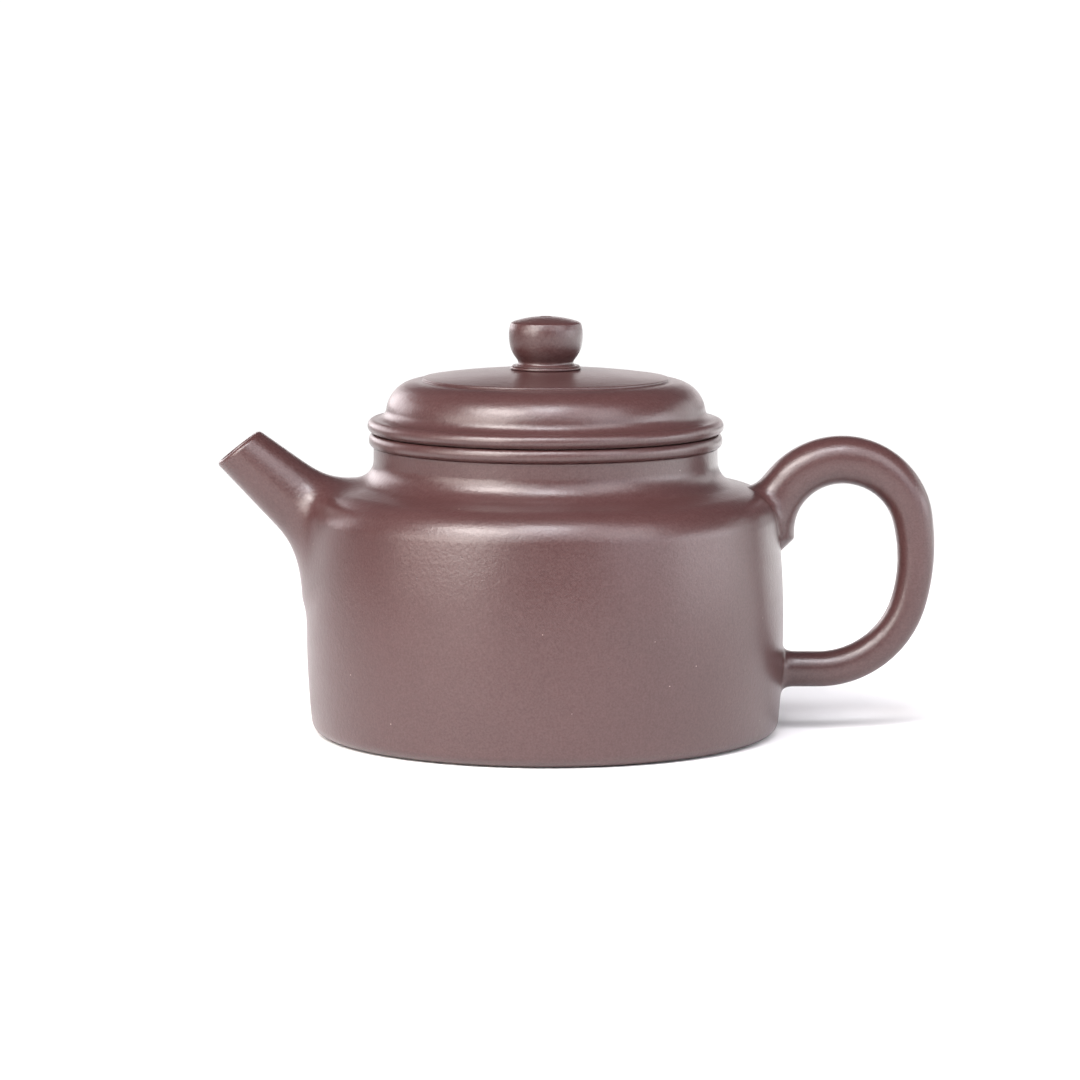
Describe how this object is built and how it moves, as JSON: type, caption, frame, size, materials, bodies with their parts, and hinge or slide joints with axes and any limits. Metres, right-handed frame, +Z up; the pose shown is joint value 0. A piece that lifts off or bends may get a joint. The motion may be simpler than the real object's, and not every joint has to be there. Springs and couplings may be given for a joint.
{
  "type": "clay teapot",
  "caption": "Lidded unglazed clay teapot with a straight-sided round body, short spout, loop handle and a lift-off lid with a knob.",
  "frame": {"origin": "on the pot's turning axis, in the plane it stands on", "axes": "+Z up along the turning axis, +X towards the handle, -X towards the spout"},
  "size_m": [0.1392, 0.093, 0.0808],
  "materials": {
    "clay": "satin, burnished",
    "raw_clay": "matte, unburnished"
  },
  "bodies": {
    "pot": {"base_disc": "clay", "body_wall": "clay", "shoulder": "clay", "neck": "clay", "mouth_ring": "clay", "spout": "clay", "ball_strainer": "raw_clay", "handle": "clay"},
    "lid_collar": {"lid_flange": "raw_clay"},
    "lid": {"lid_lip_ring": "clay", "lid_plate": "clay", "lid_top_disc": "clay", "knob_seat": "clay", "knob": "clay"}
  },
  "joints": [
    {"name": "lid_lift", "type": "slide", "parent": "pot", "child": "lid_collar", "axis": [0, 0, 1], "range_m": [0, 0.055]},
    {"name": "lid_turn", "type": "hinge", "parent": "lid_collar", "child": "lid", "pos_m": [0, 0, 0.05835], "axis": [0, 0, 1], "continuous": true}
  ]
}
